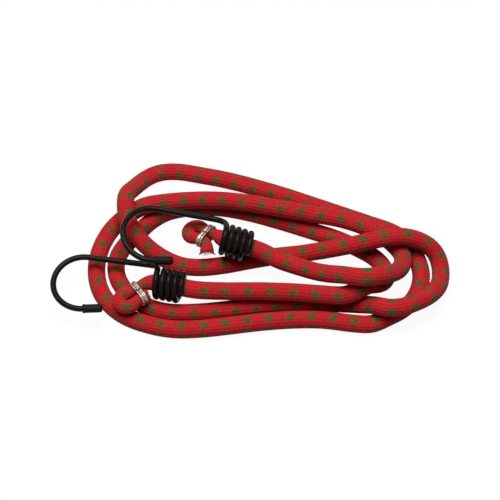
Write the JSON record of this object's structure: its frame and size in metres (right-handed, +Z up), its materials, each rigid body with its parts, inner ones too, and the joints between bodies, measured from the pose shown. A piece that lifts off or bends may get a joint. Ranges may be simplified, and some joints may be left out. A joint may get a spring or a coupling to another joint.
{
  "type": "bungee cord with hooks",
  "caption": "Elastic braided cord lying in loose loops, with a wire hook wound round each end, for tying loads down.",
  "frame": {"origin": "middle of the whole lay in plan, on the floor the cord lies on", "axes": "+X along the lay, away from the hooks; +Y across it, away from the hook tips; +Z up"},
  "size_m": [0.199, 0.1063, 0.0315],
  "materials": {
    "sheath": "braided red with green tracer threads",
    "rubber": "natural",
    "wire": "black coating, half gloss",
    "sleeve": "soft black",
    "clip": "plain"
  },
  "bodies": {
    "cord": {"braided_sheath": "sheath", "rubber_strand_middle": "rubber", "rubber_strand_1": "rubber", "rubber_strand_2": "rubber", "rubber_strand_3": "rubber", "rubber_strand_4": "rubber", "rubber_strand_5": "rubber", "rubber_strand_6": "rubber", "end_clip_1": "clip", "end_clip_2": "clip"},
    "hook_1": {"hook_wire_1": "wire", "tip_sleeve_1": "sleeve"},
    "hook_2": {"hook_wire_2": "wire", "tip_sleeve_2": "sleeve"}
  },
  "joints": [
    {"name": "hook_1_swivel", "type": "hinge", "parent": "cord", "child": "hook_1", "pos_m": [-0.0396, -0.0295, 0.0132], "axis": [0.9781, -0.2079, -0.0087], "range_deg": [-20, 12]},
    {"name": "hook_2_swivel", "type": "hinge", "parent": "cord", "child": "hook_2", "pos_m": [-0.007, -0.0067, 0.0172], "axis": [0.9518, -0.2373, -0.1942], "range_deg": [-15, 1]}
  ]
}
